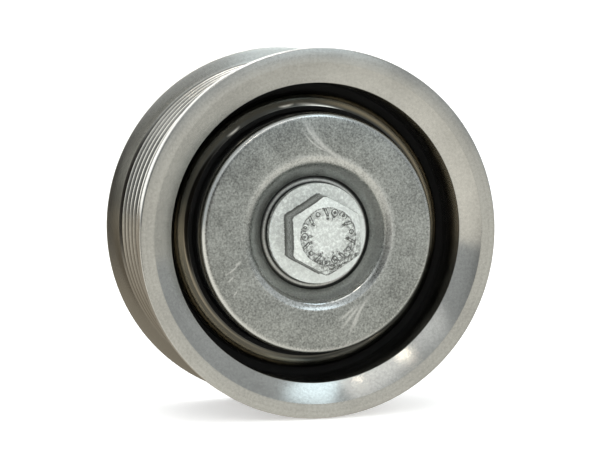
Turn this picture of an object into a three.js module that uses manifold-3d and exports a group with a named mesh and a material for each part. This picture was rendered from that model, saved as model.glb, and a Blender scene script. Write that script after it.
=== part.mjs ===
// Belt idler pulley with a captive flange bolt: a grooved steel pulley that turns on a
// double-row ball bearing, clamped to a bracket by one bolt through its sleeve.
//
// Millimetres, +Z up. The pulley's axis is the Y axis. The bracket face is the plane y = 0,
// and the pulley stands in front of it, on the -Y side.

import * as THREE from 'three';
import { mergeVertices } from 'three/addons/utils/BufferGeometryUtils.js';
import Module from 'manifold-3d';

const wasm = await Module();
wasm.setup();

// ---- Driving dimensions ----------------------------------------------------------------

// Where things stand along the axis. A depth is measured from the pulley's front face,
// back towards the bracket.
const bracketDepth = 37;
const rimDepth = 34.2;
const discFrontDepth = 1.9;
const boltSeatDepth = 4.9;
const bearingFrontDepth = 8.6;

// Grooved rim
const rimRadius = 40;
const rimBoreRadius = 32.5;
const rimEdge = 0.4;
const ribPitch = 3.56;
const grooveCount = 8;
const grooveRootRadius = 34.2;
const crestRadius = 37.2;
const crestLand = 0.9;
const grooveWallAngle = THREE.MathUtils.degToRad(20);
const rearFlangeTip = 0.3;
const rearFlangeLean = 0.2;
const rearFlangeChamfer = 0.4;
const frontFlangeTip = 2.3;
const bevelOuterRadius = 36.8;
const bevelInnerRadius = 32.9;
const bevelDepth = 2.3;
const mouthLength = 0.5;
const webFrontDepth = 12.6;
const webRearDepth = 24;
const webFilletRun = 0.8;
const webFilletDepth = 1;

// Hub around the bearing
const hubRadius = 30.5;
const hubLipRound = 3.6;
const hubLipDepth = 8.6;
const hubLipBore = 26.4;
const hubLipStartAngle = -86;
const hubRecessRadius = 24.8;
const hubRecessDepth = 10.4;
const hubShoulderDepth = 7.4;
const hubShoulderBore = 22;
const hubRearDepth = 33.4;

// Ball bearing, 17 x 47 x 22.2, two rows
const bearingBoreRadius = 8.5;
const bearingRadius = 23.5;
const bearingWidth = 22.2;
const ballRadius = 4;
const ballPitchRadius = 16.25;
const ballsPerRow = 8;
const rowOffset = 5.4;
const raceRadius = 4.3;
const innerShoulderRadius = 14;
const outerShoulderRadius = 18.5;
const sealThickness = 1;
const sealInset = 0.2;
const cageThickness = 2.5;
const cageOpenReach = 1.6;
const cageSolidReach = 4.8;

// Snap ring behind the bearing, and its groove in the hub
const clipGrooveWidth = 1.8;
const clipGrooveRadius = 25;
const clipThickness = 1.6;
const clipFit = 0.1;

// Fastening
const boltRadius = 5;
const boltLength = 50;
const boltTipChamfer = 1.2;
const boltFlangeRadius = 10.9;
const boltFlangeEdge = 1.4;
const boltFlangeRise = 3;
const boltHeadHeight = 10;
const hexAcrossFlats = 15;
const hexClocking = THREE.MathUtils.degToRad(1.5);
const sleeveCollarRadius = 12.5;

// Room between pieces
const fitGap = 0.1;
const looseGap = 0.3;

// Facets round a full turn
const rimSides = 40;
const innerSides = 32;
const boltSides = 24;
const ballSides = 10;
const ballRings = 7;

// ---- Values worked out from them -------------------------------------------------------

const bearingRearDepth = bearingFrontDepth + bearingWidth;
const bearingMidDepth = bearingFrontDepth + bearingWidth / 2;
const frontRowDepth = bearingMidDepth - rowOffset;
const rearRowDepth = bearingMidDepth + rowOffset;
const hubBoreRadius = bearingRadius + fitGap;

const depthToY = (depth) => depth - bracketDepth;

// ---- Shape helpers ---------------------------------------------------------------------

// Turns a list of [radius, depth] points about the Y axis. A profile that doesn't start and
// end on the axis is closed into a ring.
function turned(points, sides) {
  const profile = points.map(([radius, depth]) => new THREE.Vector2(radius, depthToY(depth)));
  const onAxis = profile[0].x === 0 && profile[profile.length - 1].x === 0;
  if (THREE.ShapeUtils.area(profile) < 0) profile.reverse();
  if (!onAxis) profile.push(profile[0].clone());
  return new THREE.LatheGeometry(profile, sides);
}

// Points on an arc about [radius, depth], from one angle to another in degrees. Angle 0
// points outwards from the axis, and 90 points back towards the bracket.
function arc(centreRadius, centreDepth, size, fromDegrees, toDegrees, steps) {
  const points = [];
  for (let i = 0; i <= steps; i += 1) {
    const angle = THREE.MathUtils.degToRad(fromDegrees + ((toDegrees - fromDegrees) * i) / steps);
    points.push([centreRadius + size * Math.cos(angle), centreDepth + size * Math.sin(angle)]);
  }
  return points;
}

// A flat outline in the XZ plane, made solid between two depths.
function slab(shape, frontDepth, rearDepth, curveSegments) {
  const geometry = new THREE.ExtrudeGeometry(shape, {
    depth: rearDepth - frontDepth,
    bevelEnabled: false,
    curveSegments,
  });
  geometry.rotateX(Math.PI / 2);
  geometry.translate(0, depthToY(rearDepth), 0);
  return geometry;
}

function asSolid(geometry) {
  const bare = geometry.clone();
  bare.deleteAttribute('normal');
  bare.deleteAttribute('uv');
  const welded = mergeVertices(bare, 1e-4);
  return new wasm.Manifold(new wasm.Mesh({
    numProp: 3,
    vertProperties: new Float32Array(welded.attributes.position.array),
    triVerts: new Uint32Array(welded.index.array),
  }));
}

function asGeometry(solid) {
  const mesh = solid.getMesh();
  const geometry = new THREE.BufferGeometry();
  geometry.setAttribute('position', new THREE.BufferAttribute(mesh.vertProperties, 3));
  geometry.setIndex(new THREE.BufferAttribute(mesh.triVerts, 1));
  geometry.computeVertexNormals();
  return geometry;
}

function piece(name, geometry, color, roughness, metalness) {
  const material = new THREE.MeshStandardMaterial({ color, roughness, metalness });
  const mesh = new THREE.Mesh(geometry, material);
  mesh.name = name;
  return mesh;
}

// ---- Pulley ----------------------------------------------------------------------------

// The outside of the rim from the front flange over the grooves to the rear flange.
function beltTrack() {
  const halfLand = crestLand / 2;
  const wallRun = (crestRadius - grooveRootRadius) * Math.tan(grooveWallAngle);
  const halfRoot = ribPitch / 2 - halfLand - wallRun;
  const rearFlangeEdge = rimDepth - rearFlangeChamfer;
  const rearFlangeFoot = rearFlangeEdge - rearFlangeTip - rearFlangeLean;
  const lastGroove = rearFlangeFoot - ribPitch / 2 + halfLand;
  const firstGroove = lastGroove - (grooveCount - 1) * ribPitch;
  const points = [
    [rimRadius - rimEdge, 0],
    [rimRadius, rimEdge],
    [rimRadius, frontFlangeTip],
    [crestRadius, firstGroove - ribPitch / 2 + halfLand],
  ];
  for (let groove = 0; groove < grooveCount; groove += 1) {
    const middle = firstGroove + groove * ribPitch;
    points.push([grooveRootRadius, middle - halfRoot]);
    points.push([grooveRootRadius, middle + halfRoot]);
    if (groove < grooveCount - 1) {
      points.push([crestRadius, middle + ribPitch / 2 - halfLand]);
      points.push([crestRadius, middle + ribPitch / 2 + halfLand]);
    }
  }
  points.push([crestRadius, rearFlangeFoot]);
  points.push([rimRadius, rearFlangeFoot + rearFlangeLean]);
  points.push([rimRadius, rearFlangeEdge]);
  points.push([rimRadius - rearFlangeChamfer, rimDepth]);
  return points;
}

// The inside of the rim and both sides of the web and the hub, from the rear face forwards.
function rimInside() {
  const clipGrooveFront = bearingRearDepth + 2 * clipFit;
  const clipGrooveRear = clipGrooveFront + clipGrooveWidth;
  const lipCentreRadius = hubRadius - hubLipRound;
  return [
    [rimBoreRadius + rimEdge, rimDepth],
    [rimBoreRadius, rimDepth - rimEdge],
    [rimBoreRadius, webRearDepth + webFilletDepth],
    [rimBoreRadius - webFilletRun, webRearDepth],
    [hubRadius + webFilletRun, webRearDepth],
    [hubRadius, webRearDepth + webFilletDepth],
    [hubRadius, hubRearDepth - rimEdge],
    [hubRadius - rimEdge, hubRearDepth],
    [hubBoreRadius, hubRearDepth],
    [hubBoreRadius, clipGrooveRear],
    [clipGrooveRadius, clipGrooveRear],
    [clipGrooveRadius, clipGrooveFront],
    [hubBoreRadius, clipGrooveFront],
    [hubBoreRadius, bearingFrontDepth - fitGap],
    [hubShoulderBore, bearingFrontDepth - fitGap],
    [hubShoulderBore, hubShoulderDepth],
    [hubRecessRadius, hubShoulderDepth],
    [hubRecessRadius, hubRecessDepth],
    [hubLipBore, hubRecessDepth],
    [hubLipBore, hubLipDepth + rimEdge],
    ...arc(lipCentreRadius, hubLipDepth + hubLipRound, hubLipRound, hubLipStartAngle, 0, 4),
    [hubRadius, webFrontDepth],
    [rimBoreRadius, webFrontDepth],
    [rimBoreRadius, bevelDepth + mouthLength],
    [bevelInnerRadius, bevelDepth],
    [bevelOuterRadius, 0],
  ];
}

function pulleyRim() {
  const geometry = turned([...beltTrack(), ...rimInside()], rimSides);
  return piece('pulley_rim', geometry, 0xa3a19c, 0.35, 1);
}

// A snap ring with a gap and two drilled lugs, in the groove behind the bearing.
function retainingRing() {
  const outer = clipGrooveRadius - looseGap;
  const inner = 21.8;
  const lugInner = 19.4;
  const gapAngle = 0.14;
  const lugAngle = 0.2;
  const holeRadius = 0.9;
  const holeCircle = 20.9;
  const curveSteps = 12;
  const shape = new THREE.Shape();
  shape.absarc(0, 0, outer, gapAngle, 2 * Math.PI - gapAngle, false);
  shape.absarc(0, 0, lugInner, 2 * Math.PI - gapAngle, 2 * Math.PI - gapAngle - lugAngle, true);
  shape.absarc(0, 0, inner, 2 * Math.PI - gapAngle - lugAngle, gapAngle + lugAngle, true);
  shape.absarc(0, 0, lugInner, gapAngle + lugAngle, gapAngle, true);
  shape.closePath();
  for (const side of [-1, 1]) {
    const angle = side * (gapAngle + lugAngle / 2);
    const x = holeCircle * Math.cos(angle);
    const z = holeCircle * Math.sin(angle);
    const hole = new THREE.Path();
    hole.absarc(x, z, holeRadius, 0, 2 * Math.PI, true);
    shape.holes.push(hole);
  }
  const front = bearingRearDepth + 3 * clipFit;
  const geometry = slab(shape, front, front + clipThickness, curveSteps);
  return piece('retaining_ring', geometry, 0x4a4d52, 0.4, 1);
}

// ---- Bearing ---------------------------------------------------------------------------

// The ball groove of one row, as an arc of a ring's profile. towards is 0 on the outer ring
// and 180 on the inner ring.
function raceArc(rowDepth, shoulderRadius, towards) {
  const rise = Math.abs(shoulderRadius - ballPitchRadius);
  const half = THREE.MathUtils.radToDeg(Math.acos(rise / raceRadius));
  return arc(ballPitchRadius, rowDepth, raceRadius, towards + half, towards - half, 6);
}

function bearingInnerRing() {
  const bore = bearingBoreRadius;
  const profile = [
    [bore, bearingFrontDepth],
    [innerShoulderRadius, bearingFrontDepth],
    ...raceArc(frontRowDepth, innerShoulderRadius, 180),
    ...raceArc(rearRowDepth, innerShoulderRadius, 180),
    [innerShoulderRadius, bearingRearDepth],
    [bore, bearingRearDepth],
  ];
  return piece('bearing_inner_ring', turned(profile, innerSides), 0xb9bcc0, 0.2, 1);
}

function bearingOuterRing() {
  const profile = [
    [bearingRadius, bearingRearDepth],
    [outerShoulderRadius, bearingRearDepth],
    ...raceArc(rearRowDepth, outerShoulderRadius, 0),
    ...raceArc(frontRowDepth, outerShoulderRadius, 0),
    [outerShoulderRadius, bearingFrontDepth],
    [bearingRadius, bearingFrontDepth],
  ];
  return piece('bearing_outer_ring', turned(profile, innerSides), 0xb9bcc0, 0.2, 1);
}

function rubberSeal(name, frontDepth) {
  const inner = innerShoulderRadius + looseGap;
  const outer = outerShoulderRadius - looseGap;
  const profile = [
    [inner, frontDepth],
    [outer, frontDepth],
    [outer, frontDepth + sealThickness],
    [inner, frontDepth + sealThickness],
  ];
  return piece(name, turned(profile, innerSides), 0x1c1c1d, 0.8, 0);
}

// A crown cage: a nylon ring beside its balls, with a pocket round each one. side is the
// way from the balls to the ring's solid edge, +1 towards the bracket.
function ballCage(name, rowDepth, side) {
  const inner = ballPitchRadius - cageThickness / 2;
  const outer = ballPitchRadius + cageThickness / 2;
  const open = rowDepth - side * cageOpenReach;
  const solidEdge = rowDepth + side * cageSolidReach;
  const ring = turned([[inner, open], [outer, open], [outer, solidEdge], [inner, solidEdge]], innerSides);
  let cage = asSolid(ring);
  for (let i = 0; i < ballsPerRow; i += 1) {
    const pocket = new THREE.SphereGeometry(raceRadius, ballSides, ballRings);
    const place = ballPlace(rowDepth, i);
    pocket.translate(place.x, place.y, place.z);
    cage = cage.subtract(asSolid(pocket));
  }
  return piece(name, asGeometry(cage), 0xc9b98a, 0.6, 0);
}

// The centre of one ball of a row.
function ballPlace(rowDepth, index) {
  const angle = (index * 2 * Math.PI) / ballsPerRow;
  const x = ballPitchRadius * Math.sin(angle);
  const z = ballPitchRadius * Math.cos(angle);
  return new THREE.Vector3(x, depthToY(rowDepth), z);
}

function ballRow(prefix, rowDepth) {
  const row = new THREE.Group();
  for (let i = 0; i < ballsPerRow; i += 1) {
    const geometry = new THREE.SphereGeometry(ballRadius, ballSides, ballRings);
    const ball = piece(`${prefix}_${i + 1}`, geometry, 0xd6d8da, 0.08, 1);
    ball.position.copy(ballPlace(rowDepth, i));
    row.add(ball);
  }
  return row;
}

// ---- Stationary core -------------------------------------------------------------------

// The pressed steel dust cover: a flat disc with a rolled skirt and a dish for the bolt.
function coverDisc() {
  const radius = 26.2;
  const sheet = 1.8;
  const skirtDepth = 5.6;
  const edgeRound = 1.5;
  const dishMouthRadius = 15.6;
  const dishFloorRadius = 11.9;
  const mouthRun = 1;
  const mouthDepth = 0.5;
  const holeRadius = 5.5;
  const rearOfSheet = discFrontDepth + sheet;
  const rearOfDish = boltSeatDepth + sheet;
  const profile = [
    [dishMouthRadius + mouthRun, discFrontDepth],
    ...arc(radius - edgeRound, discFrontDepth + edgeRound, edgeRound, -90, 0, 3),
    [radius, skirtDepth],
    [radius - sheet, skirtDepth],
    [radius - sheet, rearOfSheet],
    [dishMouthRadius + mouthRun, rearOfSheet],
    [dishFloorRadius + mouthRun, rearOfDish],
    [holeRadius, rearOfDish],
    [holeRadius, boltSeatDepth + fitGap],
    [dishFloorRadius, boltSeatDepth + fitGap],
    [dishMouthRadius, discFrontDepth + mouthDepth],
  ];
  return piece('cover_disc', turned(profile, rimSides), 0x8f9092, 0.55, 1);
}

function frontSpacerRing() {
  const bore = boltRadius + 2 * looseGap;
  const radius = 11.5;
  const front = 6.9;
  const rear = bearingFrontDepth - fitGap;
  const profile = [[bore, front], [radius, front], [radius, rear], [bore, rear]];
  return piece('front_spacer_ring', turned(profile, innerSides), 0x8d8f92, 0.4, 1);
}

// The sleeve that the bolt clamps: it fills the bearing's bore, and its collar stands the
// pulley off the bracket.
function mountingSleeve() {
  const bore = boltRadius + looseGap;
  const radius = bearingBoreRadius - fitGap;
  const collarFront = bearingRearDepth + fitGap;
  const edge = 0.6;
  const profile = [
    [bore, bearingFrontDepth],
    [radius, bearingFrontDepth],
    [radius, collarFront],
    [sleeveCollarRadius, collarFront],
    [sleeveCollarRadius, bracketDepth - edge],
    [sleeveCollarRadius - edge, bracketDepth],
    [bore, bracketDepth],
  ];
  return piece('mounting_sleeve', turned(profile, innerSides), 0x96989b, 0.4, 1);
}

function rearDustShield() {
  const inner = sleeveCollarRadius + fitGap;
  const outer = 22.9;
  const front = 33.2;
  const thickness = 1;
  const collarReach = 1.6;
  const collarThickness = 1.2;
  const profile = [
    [inner, front - collarReach],
    [inner + collarThickness, front - collarReach],
    [inner + collarThickness, front],
    [outer, front],
    [outer, front + thickness],
    [inner, front + thickness],
  ];
  return piece('rear_dust_shield', turned(profile, innerSides), 0x85878a, 0.45, 1);
}

function flangeBolt() {
  const headTop = boltSeatDepth - boltHeadHeight;
  const tip = boltSeatDepth + boltLength;
  const flangeFoot = boltSeatDepth - boltFlangeRise;
  const hexRadius = hexAcrossFlats / Math.sqrt(3);
  const hexClearance = 0.1;
  const chamferStart = 7;
  const chamferRun = 2.2;
  const chamferDrop = chamferRun * Math.tan(THREE.MathUtils.degToRad(30));
  const hexFoot = boltSeatDepth - 1;
  const prismTop = headTop - 1;

  const body = turned([
    [0, flangeFoot],
    [hexRadius + hexClearance, flangeFoot],
    [boltFlangeRadius, boltSeatDepth - boltFlangeEdge],
    [boltFlangeRadius, boltSeatDepth],
    [boltRadius, boltSeatDepth],
    [boltRadius, tip - boltTipChamfer],
    [boltRadius - boltTipChamfer, tip],
    [0, tip],
  ], boltSides);
  const chamferCone = turned([
    [0, headTop],
    [chamferStart, headTop],
    [chamferStart + chamferRun, headTop + chamferDrop],
    [chamferStart + chamferRun, hexFoot],
    [0, hexFoot],
  ], boltSides);
  const hexagon = new THREE.Shape();
  for (let corner = 0; corner < 6; corner += 1) {
    const angle = Math.PI / 2 + (corner * Math.PI) / 3 + hexClocking;
    const x = hexRadius * Math.cos(angle);
    const z = hexRadius * Math.sin(angle);
    if (corner === 0) hexagon.moveTo(x, z);
    else hexagon.lineTo(x, z);
  }
  hexagon.closePath();
  const hexPrism = slab(hexagon, prismTop, hexFoot, 1);
  const head = asSolid(hexPrism).intersect(asSolid(chamferCone));
  return piece('flange_bolt', asGeometry(head.add(asSolid(body))), 0xc4c5c4, 0.4, 1);
}

// ---- Assembly --------------------------------------------------------------------------

const turningPulley = new THREE.Group();
turningPulley.add(
  pulleyRim(),
  retainingRing(),
  bearingOuterRing(),
  rubberSeal('front_seal', bearingFrontDepth + sealInset),
  rubberSeal('rear_seal', bearingRearDepth - sealInset - sealThickness),
);

const rollingSets = new THREE.Group();
rollingSets.add(
  ballCage('front_cage', frontRowDepth, 1),
  ballRow('front_ball', frontRowDepth),
  ballCage('rear_cage', rearRowDepth, -1),
  ballRow('rear_ball', rearRowDepth),
);

const stationaryCore = new THREE.Group();
stationaryCore.add(
  bearingInnerRing(),
  coverDisc(),
  frontSpacerRing(),
  mountingSleeve(),
  rearDustShield(),
  flangeBolt(),
);

const idler = new THREE.Group();
idler.add(stationaryCore, rollingSets, turningPulley);

export default idler;
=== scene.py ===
# %% [markdown]
# # A belt idler pulley
# This lesson dresses a finished mechanical model in Blender. The object is the idler pulley that
# a multi-rib belt runs round on an engine: a grooved steel wheel on a sealed ball bearing, a
# pressed cover disc in front of it, and one flange bolt through the middle. The mechanical model
# fixes where every piece is and how it moves, so nothing is moved here. Each coarse piece is
# replaced by a finely shaped one in the same place, and each finish is built from nodes.

import math

import bmesh
import bpy
from mathutils import Matrix, Vector


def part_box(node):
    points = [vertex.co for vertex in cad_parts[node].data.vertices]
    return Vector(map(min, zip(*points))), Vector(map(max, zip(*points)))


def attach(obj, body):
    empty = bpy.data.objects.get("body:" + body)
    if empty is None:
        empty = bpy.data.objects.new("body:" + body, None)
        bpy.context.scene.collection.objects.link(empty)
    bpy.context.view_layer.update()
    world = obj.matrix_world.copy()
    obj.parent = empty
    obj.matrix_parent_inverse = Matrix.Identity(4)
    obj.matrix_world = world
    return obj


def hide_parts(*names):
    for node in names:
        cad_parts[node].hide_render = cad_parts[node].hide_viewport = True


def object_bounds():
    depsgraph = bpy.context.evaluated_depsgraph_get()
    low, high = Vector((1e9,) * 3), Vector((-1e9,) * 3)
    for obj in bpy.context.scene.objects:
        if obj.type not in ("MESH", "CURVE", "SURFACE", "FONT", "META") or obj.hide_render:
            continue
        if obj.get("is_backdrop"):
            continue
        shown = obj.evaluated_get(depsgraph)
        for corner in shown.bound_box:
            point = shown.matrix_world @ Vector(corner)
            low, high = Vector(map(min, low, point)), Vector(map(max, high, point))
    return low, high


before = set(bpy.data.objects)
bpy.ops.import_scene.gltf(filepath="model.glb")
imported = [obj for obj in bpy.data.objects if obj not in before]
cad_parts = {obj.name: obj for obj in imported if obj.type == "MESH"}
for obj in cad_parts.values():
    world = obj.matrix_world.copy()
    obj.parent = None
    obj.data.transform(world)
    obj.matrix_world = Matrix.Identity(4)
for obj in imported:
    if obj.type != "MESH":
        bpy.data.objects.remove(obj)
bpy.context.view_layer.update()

# %% [markdown]
# ## Where things are
# The pulley turns about the Y axis, and its front looks along -Y. On a lathe drawing each point
# has a radius and a depth behind the front face, so those two numbers, in millimetres, are the
# ones used below. They could be typed in as metres along X, Y and Z, but a turned piece is far
# easier to read as radius and depth. The few numbers that tie the drawing to the model are read
# from the boxes of its nodes.

# %% Read the driving sizes
MM = 0.001
rim_low, rim_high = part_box("pulley_rim")
front_face_y = rim_low.y
rim_radius = rim_high.x / MM
rim_depth = (rim_high.y - rim_low.y) / MM
disc_low, disc_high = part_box("cover_disc")
disc_radius = disc_high.x / MM
disc_front = (disc_low.y - front_face_y) / MM
disc_back = (disc_high.y - front_face_y) / MM


def depth_of(y):
    """Depth behind the pulley's front face, in millimetres, of a height along Y in metres."""
    return (y - front_face_y) / MM


def depths(node):
    """Front and rear depth of a node, in millimetres."""
    low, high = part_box(node)
    return depth_of(low.y), depth_of(high.y)


def outer_radius(node):
    """Largest radius of a node about the pulley's axis, in millimetres."""
    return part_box(node)[1].x / MM


print(f"rim: radius {rim_radius:.1f}, width {rim_depth:.1f}; cover disc: radius {disc_radius:.1f}")

# %% [markdown]
# ## The lathe
# Nearly every piece here was made on a lathe or pressed to a round shape. Blender can turn an
# outline with the Screw modifier or with the Spin tool. The tool is used here, through bmesh,
# because it gives a plain mesh at once, and because one short function then makes most pieces.
#
# No real edge is perfectly sharp. Each corner of an outline therefore carries the size of its
# own rounding, and a small arc takes the corner's place. These tiny arcs catch the light as fine
# bright lines, and they are what makes a turned part look solid.

# %% Outlines with rounded corners
ARC_STEP_DEGREES = 15
LARGEST_SHARE = 0.48


def rounded(corners, closed=True):
    """Replace each corner (radius, depth, rounding) of an outline with a small arc."""
    outline = []
    count = len(corners)
    for index, (radius, depth, rounding) in enumerate(corners):
        here = Vector((radius, depth))
        is_end = not closed and index in (0, count - 1)
        if rounding <= 0 or is_end:
            outline.append(here)
            continue
        before = Vector(corners[index - 1][:2])
        after = Vector(corners[(index + 1) % count][:2])
        outline.extend(corner_arc(before, here, after, rounding))
    return outline


def corner_arc(before, here, after, rounding):
    """Points of the arc that rounds off the corner here, between its two neighbours.

    On a short side the arc shrinks, so that it never takes half of the side or more.
    """
    back = (before - here).normalized()
    ahead = (after - here).normalized()
    half_angle = back.angle(ahead) / 2
    shorter_side = min((before - here).length, (after - here).length)
    reach = min(rounding / math.tan(half_angle), LARGEST_SHARE * shorter_side)
    start, end = here + back * reach, here + ahead * reach
    size = reach * math.tan(half_angle)
    centre = here + (back + ahead).normalized() * (size / math.sin(half_angle))
    sweep = math.pi - 2 * half_angle
    steps = max(2, math.ceil(math.degrees(sweep) / ARC_STEP_DEGREES))
    first, last = start - centre, end - centre
    return [centre + slerp(first, last, step / steps) for step in range(steps + 1)]


def slerp(first, last, share):
    """Turn smoothly from one arm of an arc to the other."""
    angle = first.angle(last)
    part = math.sin((1 - share) * angle) * first + math.sin(share * angle) * last
    return part / math.sin(angle)


# %% [markdown]
# Spinning works on a row of points joined by edges. It leaves points lying on each other where
# the row meets its own start and where it meets the axis, so those are merged. An outline that
# keeps clear of the axis is joined into a loop first, and the result is then a closed ring.

# %% Turning an outline
ROUND_STEPS = 240
MERGE_DISTANCE = 1e-7


def spun(places, axis, steps, looped=False, merge_distance=MERGE_DISTANCE):
    """Spin a row of places, in metres, round an axis through the origin. Gives a bmesh."""
    bm = bmesh.new()
    row = [bm.verts.new(place) for place in places]
    edges = [bm.edges.new(pair) for pair in zip(row, row[1:])]
    if looped:
        edges.append(bm.edges.new((row[-1], row[0])))
    bmesh.ops.spin(bm, geom=row + edges, cent=(0, 0, 0), axis=axis,
                   angle=2 * math.pi, steps=steps, use_merge=True)
    bmesh.ops.remove_doubles(bm, verts=bm.verts, dist=merge_distance)
    return bm


def mesh_from(bm, name, outward=True):
    """Turn a bmesh into a mesh. outward makes all its faces look outwards first."""
    if outward:
        bmesh.ops.recalc_face_normals(bm, faces=bm.faces)
    mesh = bpy.data.meshes.new(name)
    bm.to_mesh(mesh)
    bm.free()
    return mesh


def turned(name, outline, steps=ROUND_STEPS):
    """Spin an outline of (radius, depth) points about the Y axis into a closed mesh object."""
    places = [(point.x * MM, front_face_y + point.y * MM, 0) for point in outline]
    bm = spun(places, (0, 1, 0), steps, looped=outline[0].x > 0)
    return shown(name, mesh_from(bm, name))


def linked(name, data):
    """A new object in the scene."""
    thing = bpy.data.objects.new(name, data)
    bpy.context.scene.collection.objects.link(thing)
    return thing


def shown(name, mesh, crease_degrees=40):
    """Put a mesh into the scene, smooth, with edges sharper than the crease angle kept crisp."""
    for face in mesh.polygons:
        face.use_smooth = True
    mesh.set_sharp_from_angle(angle=math.radians(crease_degrees))
    return linked(name, mesh)


def stands_for(piece, node, body, material):
    """Let a fine piece take the place of a coarse node, on the same moving body."""
    if material is not None:
        piece.data.materials.append(material)
    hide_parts(node)
    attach(piece, body)
    print(f"{piece.name}: {len(piece.data.polygons)} faces, rides on {body}")


# %% [markdown]
# ## Node helpers
# A material here is a small recipe of nodes. They could be placed by hand in the shader editor,
# but a few helpers keep a dozen recipes short and alike. The first helper makes a plain metal or
# non-metal, and the second adds a node and joins it up.

# %% Helpers for the recipes
def new_material(name, color, roughness, metallic, **values):
    """A Principled material whose uniform values sit on its own sockets."""
    material = bpy.data.materials.new(name)
    material.use_nodes = True
    shader = material.node_tree.nodes["Principled BSDF"]
    shader.inputs["Base Color"].default_value = (*color, 1)
    shader.inputs["Roughness"].default_value = roughness
    shader.inputs["Metallic"].default_value = metallic
    for socket, value in values.items():
        shader.inputs[socket.replace("_", " ")].default_value = value
    material.diffuse_color = (*color, 1)
    return material, material.node_tree, shader


def add(tree, kind, links=None, **settings):
    """Add a node. links fills its inputs, from sockets or plain values; settings are its own."""
    node = tree.nodes.new(kind)
    for key, value in settings.items():
        setattr(node, key, value)
    for key, value in (links or {}).items():
        if isinstance(value, bpy.types.NodeSocket):
            tree.links.new(value, node.inputs[key])
        else:
            node.inputs[key].default_value = value
    return node


def math_node(tree, operation, first, second=0.0, third=0.0):
    """One arithmetic step, as an output socket."""
    node = add(tree, "ShaderNodeMath", {0: first, 1: second, 2: third}, operation=operation)
    return node.outputs[0]


def product(tree, first, second):
    """Two values multiplied."""
    return math_node(tree, "MULTIPLY", first, second)


# %% [markdown]
# The next helpers say where a point of the surface is, since wear and dirt depend on place. The
# distance from the pulley's axis matters most. Lathe marks follow it, because a cutting tool
# leaves a spiral so fine that it reads as rings.

# %% Helpers for places
def position(tree):
    """The surface point in metres, in the object's own space."""
    return add(tree, "ShaderNodeTexCoord").outputs["Object"]


def off_middle(tree, value, middle):
    """How far a value is from a middle, to either side."""
    return math_node(tree, "ABSOLUTE", math_node(tree, "SUBTRACT", value, middle))


def distance_to(tree, point, place):
    """Distance of a point from a fixed place."""
    node = add(tree, "ShaderNodeVectorMath", {0: point, 1: place}, operation="DISTANCE")
    return node.outputs["Value"]


def axis_distance(tree, point):
    """Distance from the Y axis in millimetres, and the node with the point's X, Y and Z."""
    split = add(tree, "ShaderNodeSeparateXYZ", {0: point})
    squares = math_node(tree, "MULTIPLY_ADD", split.outputs["X"], split.outputs["X"],
                        product(tree, split.outputs["Z"], split.outputs["Z"]))
    return math_node(tree, "DIVIDE", math_node(tree, "SQRT", squares), MM), split


# %% [markdown]
# The last helpers make and blend tones: a soft noise, a change of span, two ways to change a
# colour, and the bump that stands for marks too fine to model.

# %% Helpers for tones
def noise(tree, vector, scale, detail=2.0, roughness=0.5, distortion=0.0):
    """Soft noise with about scale lumps to the metre, as a value from 0 to 1."""
    node = add(tree, "ShaderNodeTexNoise",
               {"Vector": vector, "Scale": scale, "Detail": detail,
                "Roughness": roughness, "Distortion": distortion})
    return node.outputs["Fac"]


def remap(tree, value, low, high, to_low, to_high):
    """Stretch a value from one span to another, held at both ends."""
    node = add(tree, "ShaderNodeMapRange",
               {"Value": value, "From Min": low, "From Max": high,
                "To Min": to_low, "To Max": to_high})
    return node.outputs["Result"]


def scaled(color, factor):
    """A colour made darker or lighter by a factor, but no brighter than white."""
    return tuple(min(1.0, factor * channel) for channel in color)


def mix_color(tree, share, first, second):
    """Blend two colours: share 0 gives the first, 1 the second."""
    node = add(tree, "ShaderNodeMix", data_type="RGBA")
    for socket, value in (("Factor", share), ("A", first), ("B", second)):
        wanted = [s for s in node.inputs if s.name == socket and s.enabled][0]
        if isinstance(value, bpy.types.NodeSocket):
            tree.links.new(value, wanted)
        else:
            wanted.default_value = value if isinstance(value, float) else (*value, 1)
    return [s for s in node.outputs if s.enabled][0]


def bump(tree, shader, height, strength, distance):
    """Feed a height, in the span 0 to 1, to the shader's normal. distance is in metres."""
    node = add(tree, "ShaderNodeBump",
               {"Height": height, "Strength": strength, "Distance": distance})
    tree.links.new(node.outputs["Normal"], shader.inputs["Normal"])


# %% [markdown]
# ## Turned steel
# The rim is machined all over, so its shine is drawn out across the tool marks: bright streaks
# run from the middle outwards, as on a pan's base. Two things make that in Blender. The
# Principled shader's Anisotropic value stretches the highlight along a Tangent, which here runs
# round the Y axis, and a quarter turn in Anisotropic Rotation makes the stretch go outwards. A
# bump made from noise over radius plus depth gives the marks themselves. A picture of brushed
# metal would be quicker, but it would stretch on the bevels; noise over the radius fits every
# turned face at once.

# %% Material: turned steel
QUARTER_TURN = 0.25
BAND_PITCH = 1.3


def lathe_noise(tree, travel, pitch, detail, roughness=0.5):
    """Noise that changes only along the tool's travel, with lumps about one pitch apart."""
    node = add(tree, "ShaderNodeTexNoise",
               {"W": math_node(tree, "DIVIDE", travel, pitch), "Scale": 1.0, "Detail": detail,
                "Roughness": roughness}, noise_dimensions="1D")
    return node.outputs["Fac"]


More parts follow.
